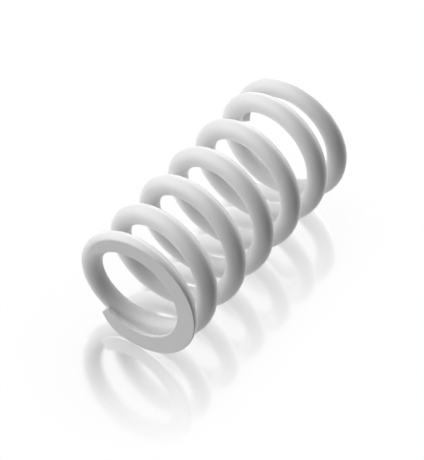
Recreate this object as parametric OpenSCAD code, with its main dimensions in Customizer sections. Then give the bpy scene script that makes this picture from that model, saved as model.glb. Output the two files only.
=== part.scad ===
// Compression spring of a shock absorber: one length of round steel wire, wound cold and powder coated.
// The turn at each end closes up on its neighbour and is ground flat, so the spring stands square on
// either end. It is modelled standing, with its axis on +Z and its lower ground face at z = 0.

/* [Wire] */
// Diameter of the round wire
wire_d = 12; // [10:0.1:14]

/* [Coil] */
// Bore left clear down the middle of the coil
bore_d = 57; // [46:0.5:72]
// Free length from one ground face to the other
free_length = 162; // [145:1:200]
// Turns of wire from tip to tip
turns = 6.88; // [6:0.01:8]
// Way the wire winds as it climbs
winding = "left"; // [left, right]
// Angle of the lower tip about the axis, in degrees
lower_tip_angle = 52; // [0:1:359]

/* [Lower end] */
// Thickness of wire left at the lower tip by grinding
lower_tip = 3.3; // [2:0.1:5]
// Clear gap from the lower tip to the turn above it
lower_gap = 2; // [0.4:0.1:4]
// How late the lower end turn opens out: 3 is early, 12 is late
lower_hold = 10; // [3:1:12]

/* [Upper end] */
// Thickness of wire left at the upper tip by grinding
upper_tip = 4.2; // [2:0.1:5.5]
// Clear gap from the upper tip to the turn below it
upper_gap = 0.6; // [0.4:0.1:4]
// How late the upper end turn opens out: 3 is early, 12 is late
upper_hold = 4; // [3:1:12]

/* [Dressed tips] */
// Length of wire over which a tip's outer corner is dressed away
nose_length = 17; // [4:0.5:24]
// Share of the wire's outer half that is dressed away at the very tip
nose_cut = 0.87; // [0:0.01:0.95]

/* [Hidden] */

// Facets: sides of the wire's section, and sections in one turn
wire_sides = 20;
turn_steps = 36;

wire_r = wire_d / 2;
mean_r = bore_d / 2 + wire_r;
outer_r = mean_r + wire_r;
turn_length = 2 * PI * mean_r;
hand = winding == "left" ? -1 : 1;

// Grinding sinks part of each tip past its face, so the wire's centre starts below one and ends above the other
start_z = lower_tip - wire_r;
finish_z = free_length - upper_tip + wire_r;

// An end turn climbs one wire diameter and its gap. What is left of the climb is shared by the open turns.
lower_climb = wire_d + lower_gap;
upper_climb = wire_d + upper_gap;
pitch = (finish_z - start_z - lower_climb - upper_climb) / (turns - 2);

sections = ceil(turns * turn_steps);

// Climb of an end turn, t of a turn in from its tip: it ends at the full climb, and at the slope of the open turns
function end_climb(t, climb, hold) = climb * t + (pitch - climb) * (pow(t, hold) - t) / (hold - 1);

// Climb for each turn at that place
function end_rate(t, climb, hold) = climb + (pitch - climb) * (hold * pow(t, hold - 1) - 1) / (hold - 1);

// Height of the wire's centre, t turns up from the lower tip
function centre_z(t) =
    t < 1 ? start_z + end_climb(t, lower_climb, lower_hold)
    : t > turns - 1 ? finish_z - end_climb(turns - t, upper_climb, upper_hold)
    : start_z + lower_climb + pitch * (t - 1);

// Slope of the wire there, in degrees
function slope(t) =
    atan((t < 1 ? end_rate(t, lower_climb, lower_hold)
        : t > turns - 1 ? end_rate(turns - t, upper_climb, upper_hold)
        : pitch) / turn_length);

// Share of the wire's outer half that is left there: all of it, but for the dressed tips
function outer_half(t) =
    let (from_tip = min(t, turns - t) * turn_length)
    1 - nose_cut * pow(max(0, 1 - from_tip / nose_length), 2);

// Point on the wire's skin, t turns up and a degrees round a section that is square to the wire
function skin_point(t, a) =
    let (
        turn = lower_tip_angle + hand * 360 * t,
        rise = hand * wire_r * sin(a),
        out = mean_r + wire_r * cos(a) * (cos(a) > 0 ? outer_half(t) : 1),
        back = -wire_r * sin(a) * sin(slope(t))
    )
    [
        out * cos(turn) - back * sin(turn),
        out * sin(turn) + back * cos(turn),
        centre_z(t) + rise * cos(slope(t))
    ];

// The wire as wound, before its ends are ground
module wound_wire() {
    skin = [
        for (i = [0 : sections], k = [0 : wire_sides - 1])
            skin_point(turns * i / sections, 360 * k / wire_sides)
    ];
    walls = [
        for (i = [0 : sections - 1], k = [0 : wire_sides - 1])
            let (a = i * wire_sides + k, b = i * wire_sides + (k + 1) % wire_sides)
            each [[a, b, b + wire_sides], [a, b + wire_sides, a + wire_sides]]
    ];
    lower_cap = [for (k = [wire_sides - 1 : -1 : 0]) k];
    upper_cap = [for (k = [0 : wire_sides - 1]) sections * wire_sides + k];
    polyhedron(points = skin, faces = concat(walls, [lower_cap, upper_cap]));
}

// Slab of metal that a grinding wheel takes off, resting on the plane z = 0
module ground_away() {
    translate([-outer_r - wire_d, -outer_r - wire_d, 0])
        cube([2 * (outer_r + wire_d), 2 * (outer_r + wire_d), 2 * wire_d]);
}

module coil_spring() {
    color("whitesmoke")
    difference() {
        wound_wire();
        translate([0, 0, -2 * wire_d]) ground_away();
        translate([0, 0, free_length]) ground_away();
    }
}

coil_spring();
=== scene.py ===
import math

import bmesh
import bpy
from mathutils import Matrix, Vector


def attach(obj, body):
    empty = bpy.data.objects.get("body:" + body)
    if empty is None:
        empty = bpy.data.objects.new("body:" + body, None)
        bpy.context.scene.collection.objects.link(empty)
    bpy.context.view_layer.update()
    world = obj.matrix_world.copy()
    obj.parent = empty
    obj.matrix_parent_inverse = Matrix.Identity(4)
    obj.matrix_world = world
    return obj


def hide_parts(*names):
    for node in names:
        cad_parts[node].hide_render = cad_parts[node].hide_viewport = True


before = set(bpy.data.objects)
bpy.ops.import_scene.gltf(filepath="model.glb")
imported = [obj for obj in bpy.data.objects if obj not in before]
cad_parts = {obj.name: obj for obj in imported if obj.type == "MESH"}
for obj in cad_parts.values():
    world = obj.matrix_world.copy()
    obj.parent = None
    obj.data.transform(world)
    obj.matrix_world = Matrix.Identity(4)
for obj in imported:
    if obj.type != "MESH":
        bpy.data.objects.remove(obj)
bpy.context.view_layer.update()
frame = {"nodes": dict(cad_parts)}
mm = 0.001
print("frame loaded:", ", ".join(frame["nodes"]))


def toLinear(hexColour):
    parts = [int(hexColour[i:i + 2], 16) / 255 for i in (1, 3, 5)]
    return (*[c / 12.92 if c <= 0.04045 else ((c + 0.055) / 1.055) ** 2.4 for c in parts], 1.0)


# own settings of the node, values on its sockets, and socket: (node, output) for what feeds it
def addNode(tree, kind, settings=None, values=None, links=None):
    node = tree.nodes.new(kind)
    for name, value in (settings or {}).items():
        setattr(node, name, value)
    for socket, value in (values or {}).items():
        node.inputs[socket].default_value = value
    for socket, (source, output) in (links or {}).items():
        tree.links.new(source.outputs[output], node.inputs[socket])
    return node


def newMaterial(name):
    material = bpy.data.materials.new(name)
    material.use_nodes = True
    material.node_tree.nodes.clear()
    return material, material.node_tree


# camera, in mm and degrees: it looks down on the spring, which lies on its side in the picture
camera = {
    "place": (298.836, -980.731, 846.784),
    "turn": (-44.3201, 34.0162, -132.9466),
    "lens": 173.019,
    "sensor": 36.0,
    "clip": (0.01, 20.0),  # m
}
cameraData = bpy.data.cameras.new("pictureCamera")
cameraData.lens = camera["lens"]
cameraData.sensor_width = camera["sensor"]
cameraData.clip_start, cameraData.clip_end = camera["clip"]
cameraObject = bpy.data.objects.new("pictureCamera", cameraData)
cameraObject.location = Vector(camera["place"]) * mm
cameraObject.rotation_euler = [math.radians(a) for a in camera["turn"]]
bpy.context.scene.collection.objects.link(cameraObject)
bpy.context.scene.camera = cameraObject
print("camera placed")


# the spring, in mm, degrees and turns
spring = {
    "wire": 12.0,
    "bore": 57.0,
    "freeLength": 162.0,
    "turns": 6.88,
    "lowerTipAngle": 52.0,
    "lowerTip": 3.3,      # wire left at the tip by grinding
    "lowerGap": 2.0,      # from the tip to the next turn
    "lowerHold": 10,      # how late the end turn opens out
    "upperTip": 4.2,
    "upperGap": 0.6,
    "upperHold": 4,
    "noseLength": 17.0,   # stretch of wire dressed at a tip
    "noseCut": 0.87,      # share of the outer half that is gone at the very tip
    "sides": 48,          # points round the wire
    "turnSteps": 120,     # sections in a turn
    "coatRound": 0.5,     # radius that the coat leaves on a ground edge
    "roundBand": 0.45,    # inset from the edge that turns with the radius
    "flatBand": 0.2,      # next inset, which holds the face flat
    "leastLean": 0.65,    # keeps thin tips from being drawn in too far
    "shortEdge": 0.35,    # shorter edges round a ground face or a tip are merged
    "skinCorners": 8,     # flat faces have more corners than this, faces of the skin fewer
}
wireR = spring["wire"] / 2
meanR = spring["bore"] / 2 + wireR
turnLength = 2 * math.pi * meanR
startZ = spring["lowerTip"] - wireR
finishZ = spring["freeLength"] - spring["upperTip"] + wireR
lowerClimb = spring["wire"] + spring["lowerGap"]
upperClimb = spring["wire"] + spring["upperGap"]
pitch = (finishZ - startZ - lowerClimb - upperClimb) / (spring["turns"] - 2)


# climb of an end turn, t of a turn in from its tip, and its rate there
def endClimb(t, climb, hold):
    return climb * t + (pitch - climb) * (t ** hold - t) / (hold - 1)


def endRate(t, climb, hold):
    return climb + (pitch - climb) * (hold * t ** (hold - 1) - 1) / (hold - 1)


def wireHeight(t):
    if t < 1:
        return startZ + endClimb(t, lowerClimb, spring["lowerHold"])
    if t > spring["turns"] - 1:
        return finishZ - endClimb(spring["turns"] - t, upperClimb, spring["upperHold"])
    return startZ + lowerClimb + pitch * (t - 1)


def wireSlope(t):
    rate = pitch
    if t < 1:
        rate = endRate(t, lowerClimb, spring["lowerHold"])
    elif t > spring["turns"] - 1:
        rate = endRate(spring["turns"] - t, upperClimb, spring["upperHold"])
    return math.atan(rate / turnLength)


# one step of the winding: the section turns about the axis, rises, and tips with the wire's slope
def windStep(bm, last, t, step):
    rise = wireHeight(t + step) - wireHeight(t)
    last = bmesh.ops.spin(bm, geom=last, axis=(0, 0, 1), dvec=(0, 0, rise),
                          angle=-2 * math.pi * step, steps=1)["geom_last"]
    ring = [g for g in last if isinstance(g, bmesh.types.BMVert)]
    angle = math.radians(spring["lowerTipAngle"]) - 2 * math.pi * (t + step)
    out = Vector((math.cos(angle), math.sin(angle), 0))
    tip = Matrix.Rotation(wireSlope(t) - wireSlope(t + step), 3, out)
    bmesh.ops.rotate(bm, cent=out * meanR + Vector((0, 0, wireHeight(t + step))), matrix=tip, verts=ring)
    return last, ring


# winds a round section up the axis, clockwise from above: end turn, open turns, end turn
def windWire(bm):
    place = (Matrix.Rotation(math.radians(spring["lowerTipAngle"]), 4, "Z")
             @ Matrix.Translation((meanR, 0, startZ))
             @ Matrix.Rotation(math.pi / 2 - wireSlope(0), 4, "X"))
    ring = bmesh.ops.create_circle(bm, cap_ends=True, segments=spring["sides"],
                                   radius=wireR, matrix=place)["verts"]
    rings = [(0.0, ring)]
    last = ring + bm.edges[:]
    endSteps = spring["turnSteps"]
    openTurns = spring["turns"] - 2
    openSteps = round(openTurns * endSteps)
    for i in range(endSteps):
        last, ring = windStep(bm, last, i / endSteps, 1 / endSteps)
        rings.append(((i + 1) / endSteps, ring))
    last = bmesh.ops.spin(bm, geom=last, axis=(0, 0, 1), dvec=(0, 0, pitch * openTurns / openSteps),
                          angle=-2 * math.pi * openTurns, steps=openSteps)["geom_last"]
    for i in range(endSteps):
        last, ring = windStep(bm, last, 1 + openTurns + i / endSteps, 1 / endSteps)
        rings.append((1 + openTurns + (i + 1) / endSteps, ring))
    bmesh.ops.contextual_create(bm, geom=[g for g in last if isinstance(g, bmesh.types.BMEdge)])
    return rings


# draws in the outer half of the wire over the last of each tip
def dressTips(rings):
    for t, ring in rings:
        fromTip = min(t, spring["turns"] - t) * turnLength
        keep = 1 - spring["noseCut"] * max(0, 1 - fromTip / spring["noseLength"]) ** 2
        if keep == 1:
            continue
        for v in ring:
            reach = math.hypot(v.co.x, v.co.y)
            if reach > meanR:
                share = (meanR + (reach - meanR) * keep) / reach
                v.co.x *= share
                v.co.y *= share


# grinds one end flat: short edges at the cut are merged into its outline, so the edge can be rounded
def grindEnd(bm, z, keepAbove):
    cut = bmesh.ops.bisect_plane(bm, geom=bm.verts[:] + bm.edges[:] + bm.faces[:], dist=1e-4,
                                 plane_co=(0, 0, z), plane_no=(0, 0, 1),
                                 clear_inner=keepAbove, clear_outer=not keepAbove)["geom_cut"]
    cut = [g for g in cut if isinstance(g, bmesh.types.BMVert)]
    cut.sort(key=lambda v: v.co[:])  # by place, so that every run merges the same points
    bmesh.ops.remove_doubles(bm, verts=cut, dist=spring["shortEdge"])
    outline = {v for e in bm.edges if e.is_boundary for v in e.verts}
    short = [e for e in bm.edges if e.calc_length() < spring["shortEdge"]]
    close = {}
    for e in sorted(short, key=lambda e: -e.calc_length()):  # of two short edges the shorter one counts
        ends = sorted(e.verts, key=lambda v: v in outline)
        if ends[1] in outline and ends[0] not in outline:
            close[ends[0]] = ends[1]
    bmesh.ops.weld_verts(bm, targetmap=close)
    bmesh.ops.contextual_create(bm, geom=[e for e in bm.edges if e.is_boundary])


# rounds the outline of flat faces as the coat does: two insets hold the flat, the sharp edge is drawn in
def roundEdges(bm, faces):
    bmesh.ops.recalc_face_normals(bm, faces=bm.faces)
    outer, inner = [], []
    for flat in faces:
        bands = bmesh.ops.inset_region(bm, faces=[flat], thickness=spring["roundBand"])["faces"]
        outer += [(flat, band) for band in bands]
        inner += bmesh.ops.inset_region(bm, faces=[flat], thickness=spring["flatBand"])["faces"]
    bm.normal_update()
    held = {v for f in inner for v in f.verts}
    drawIn = {}
    for flat, band in outer:
        for v in band.verts:
            if v not in held:
                lean = max(v.normal.dot(flat.normal), spring["leastLean"])
                drawIn[v] = v.normal * spring["coatRound"] * (1 - 1 / lean)
    for v, move in drawIn.items():
        v.co += move


bm = bmesh.new()
rings = windWire(bm)
dressTips(rings)
bmesh.ops.remove_doubles(bm, verts=rings[0][1] + rings[-1][1], dist=spring["shortEdge"])
grindEnd(bm, 0, True)
grindEnd(bm, spring["freeLength"], False)
roundEdges(bm, [f for f in bm.faces if len(f.verts) > spring["skinCorners"]])  # ground faces and tips
bmesh.ops.recalc_face_normals(bm, faces=bm.faces)
for face in bm.faces:
    face.smooth = True
bmesh.ops.scale(bm, vec=(mm, mm, mm), verts=bm.verts)
coilMesh = bpy.data.meshes.new("coilSpring")
bm.to_mesh(coilMesh)
bm.free()
coil = bpy.data.objects.new("coilSpring", coilMesh)
bpy.context.scene.collection.objects.link(coil)
print("spring wound:", len(coilMesh.polygons), "faces")


# polyester powder coat, sprayed dry and baked on the steel: a satin white skin with a faint orange peel
coat = {
    "colour": "#dedede",
    "thinColour": "#d7d7d7",
    "roughness": 0.42,
    "ior": 1.5,
    "peelWidth": 2.4,     # mm between the swells of the orange peel
    "peelHeight": 0.02,   # mm
    "peelStrength": 0.6,
    "peelDetail": 2.0,
    "peelRoughness": 0.45,
    "cloudWidth": 30.0,   # mm, slow change in the coat's thickness
    "cloudDetail": 3.0,
}
coatMaterial, tree = newMaterial("whitePowderCoat")
place = addNode(tree, "ShaderNodeTexCoord")
peel = addNode(tree, "ShaderNodeTexNoise", None,
               {"Scale": 1 / (coat["peelWidth"] * mm), "Detail": coat["peelDetail"],
                "Roughness": coat["peelRoughness"]},
               {"Vector": (place, "Object")})
cloud = addNode(tree, "ShaderNodeTexNoise", None,
                {"Scale": 1 / (coat["cloudWidth"] * mm), "Detail": coat["cloudDetail"]},
                {"Vector": (place, "Object")})
colour = addNode(tree, "ShaderNodeMix", {"data_type": "RGBA"},
                 {"A": toLinear(coat["thinColour"]), "B": toLinear(coat["colour"])},
                 {"Factor": (cloud, "Fac")})
bump = addNode(tree, "ShaderNodeBump", None,
               {"Strength": coat["peelStrength"], "Distance": coat["peelHeight"] * mm},
               {"Height": (peel, "Fac")})
shader = addNode(tree, "ShaderNodeBsdfPrincipled", None,
                 {"Roughness": coat["roughness"], "IOR": coat["ior"]},
                 {"Base Color": (colour, "Result"), "Normal": (bump, "Normal")})
addNode(tree, "ShaderNodeOutputMaterial", None, None, {"Surface": (shader, "BSDF")})
coilMesh.materials.append(coatMaterial)
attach(coil, "root")
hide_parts("coil_spring")
print("coat done")


# white table under the lying spring: it touches the coil's side
table = {
    "angle": -45.872,     # degrees from +X to the way that it faces
    "half": 3.0,          # m
    "colour": "#fafafa",
    "shadow": 0.18,       # how much of the light and shade on it shows close to the spring
    "shine": 0.82,        # mirror image where the spring touches it
    "reach": 84.0,        # mm from the line of touch at which shade and mirror image are gone
    "fall": 1.28,         # above 1 the mirror image fades faster at first
    "roughness": 0.12,
}
tableUp = Vector((math.cos(math.radians(table["angle"])), math.sin(math.radians(table["angle"])), 0))
tableAcross = tableUp.cross(Vector((0, 0, 1)))
middle = Vector((0, 0, spring["freeLength"] / 2 * mm))
tableMiddle = middle - tableUp * (meanR + wireR) * mm
bm = bmesh.new()
tableTurn = tableUp.to_track_quat("Z", "Y").to_matrix().to_4x4()
bmesh.ops.create_grid(bm, x_segments=1, y_segments=1, size=table["half"],
                      matrix=Matrix.Translation(tableMiddle) @ tableTurn)
tableMesh = bpy.data.meshes.new("tableTop")
bm.to_mesh(tableMesh)
bm.free()
tableTop = bpy.data.objects.new("tableTop", tableMesh)
bpy.context.scene.collection.objects.link(tableTop)

# glossy white acrylic sheet: plain white, with a mirror image that is strongest where the spring touches it
tableMaterial, tree = newMaterial("whiteAcrylic")
path = addNode(tree, "ShaderNodeLightPath")
side = addNode(tree, "ShaderNodeNewGeometry")
place = addNode(tree, "ShaderNodeTexCoord")
offset = addNode(tree, "ShaderNodeVectorMath", {"operation": "SUBTRACT"}, {1: tableMiddle},
                 {0: (place, "Object")})
across = addNode(tree, "ShaderNodeVectorMath", {"operation": "DOT_PRODUCT"}, {1: tableAcross},
                 {0: (offset, "Vector")})
along = addNode(tree, "ShaderNodeSeparateXYZ", None, None, {0: (offset, "Vector")})
along = addNode(tree, "ShaderNodeMath", {"operation": "ABSOLUTE"}, None, {0: (along, "Z")})
along = addNode(tree, "ShaderNodeMath", {"operation": "SUBTRACT", "use_clamp": True},
                {1: spring["freeLength"] / 2 * mm}, {0: (along, "Value")})
away = addNode(tree, "ShaderNodeCombineXYZ", None, None, {0: (along, "Value"), 1: (across, "Value")})
away = addNode(tree, "ShaderNodeVectorMath", {"operation": "LENGTH"}, None, {0: (away, "Vector")})
near = addNode(tree, "ShaderNodeMapRange", None,
               {"From Max": table["reach"] * mm, "To Min": 1.0, "To Max": 0.0},
               {"Value": (away, "Value")})
fade = addNode(tree, "ShaderNodeMath", {"operation": "POWER"}, {1: table["fall"]},
               {0: (near, "Result")})
shine = addNode(tree, "ShaderNodeMath", {"operation": "MULTIPLY"}, {1: table["shine"]},
                {0: (fade, "Value")})
shade = addNode(tree, "ShaderNodeMath", {"operation": "MULTIPLY"}, {1: table["shadow"]},
                {0: (near, "Result")})
plain = addNode(tree, "ShaderNodeMath", {"operation": "SUBTRACT"}, {0: 1.0}, {1: (shade, "Value")})
plain = addNode(tree, "ShaderNodeMath", {"operation": "MULTIPLY"}, None,
                {0: (plain, "Value"), 1: (path, "Is Camera Ray")})
white = addNode(tree, "ShaderNodeBsdfDiffuse", None, {"Color": toLinear(table["colour"])})
bright = addNode(tree, "ShaderNodeEmission", None, {"Strength": 1.0})
matt = addNode(tree, "ShaderNodeMixShader", None, None,
               {0: (plain, "Value"), 1: (white, "BSDF"), 2: (bright, "Emission")})
mirror = addNode(tree, "ShaderNodeBsdfGlossy", None,
                 {"Color": toLinear(table["colour"]), "Roughness": table["roughness"]})
sheet = addNode(tree, "ShaderNodeMixShader", None, None,
                {0: (shine, "Value"), 1: (matt, "Shader"), 2: (mirror, "BSDF")})
# seen from behind it is clear, so the spring shows from that side too
behind = addNode(tree, "ShaderNodeMath", {"operation": "MULTIPLY"}, None,
                 {0: (path, "Is Camera Ray"), 1: (side, "Backfacing")})
clear = addNode(tree, "ShaderNodeBsdfTransparent")
oneSided = addNode(tree, "ShaderNodeMixShader", None, None,
                   {0: (behind, "Value"), 1: (sheet, "Shader"), 2: (clear, "BSDF")})
addNode(tree, "ShaderNodeOutputMaterial", None, None, {"Surface": (oneSided, "Shader")})
tableMesh.materials.append(tableMaterial)
tableTop.visible_diffuse = False  # the sheet lets light through, and throws none back at the spring
tableTop.visible_shadow = False
print("table set")


# large soft boxes: bearing is round the table from the spring's axis, height is above the table, in degrees;
# power is in W and size in m
lights = {
    "back": {"bearing": 180, "height": 5, "power": 35.5, "size": 2.2},
    "side": {"bearing": 295, "height": 45, "power": 34.5, "size": 2.4},
    "under": {"bearing": 0, "height": -90, "power": 45.5, "size": 3.2},  # comes up through the sheet
}
lightDistance = 1.4  # m
for name, light in lights.items():
    bearing, height = math.radians(light["bearing"]), math.radians(light["height"])
    level = Vector((0, 0, 1)) * math.cos(bearing) + tableAcross * math.sin(bearing)
    toLight = level * math.cos(height) + tableUp * math.sin(height)
    lamp = bpy.data.lights.new(name + "Light", "AREA")
    lamp.shape = "DISK"
    lamp.size = light["size"]
    lamp.energy = light["power"]
    lampObject = bpy.data.objects.new(name + "Light", lamp)
    lampObject.location = middle + toLight * lightDistance
    lampObject.rotation_euler = toLight.to_track_quat("Z", "Y").to_euler()
    bpy.context.scene.collection.objects.link(lampObject)

# white room: full white where it is seen or mirrored, dim as a light
room = {"colour": "#ffffff", "light": 0.02}
world = bpy.data.worlds.new("whiteRoom")
world.use_nodes = True
tree = world.node_tree
tree.nodes.clear()
path = addNode(tree, "ShaderNodeLightPath")
seen = addNode(tree, "ShaderNodeMath", {"operation": "MAXIMUM"}, None,
               {0: (path, "Is Camera Ray"), 1: (path, "Is Glossy Ray")})
seen = addNode(tree, "ShaderNodeMath", {"operation": "MAXIMUM"}, None,
               {0: (seen, "Value"), 1: (path, "Is Transmission Ray")})
level = addNode(tree, "ShaderNodeMapRange", None, {"To Min": room["light"], "To Max": 1.0},
                {"Value": (seen, "Value")})
glow = addNode(tree, "ShaderNodeBackground", None, {"Color": toLinear(room["colour"])},
               {"Strength": (level, "Result")})
addNode(tree, "ShaderNodeOutputWorld", None, None, {"Surface": (glow, "Background")})
bpy.context.scene.world = world
bpy.context.scene.view_settings.view_transform = "Standard"
print("lights on")
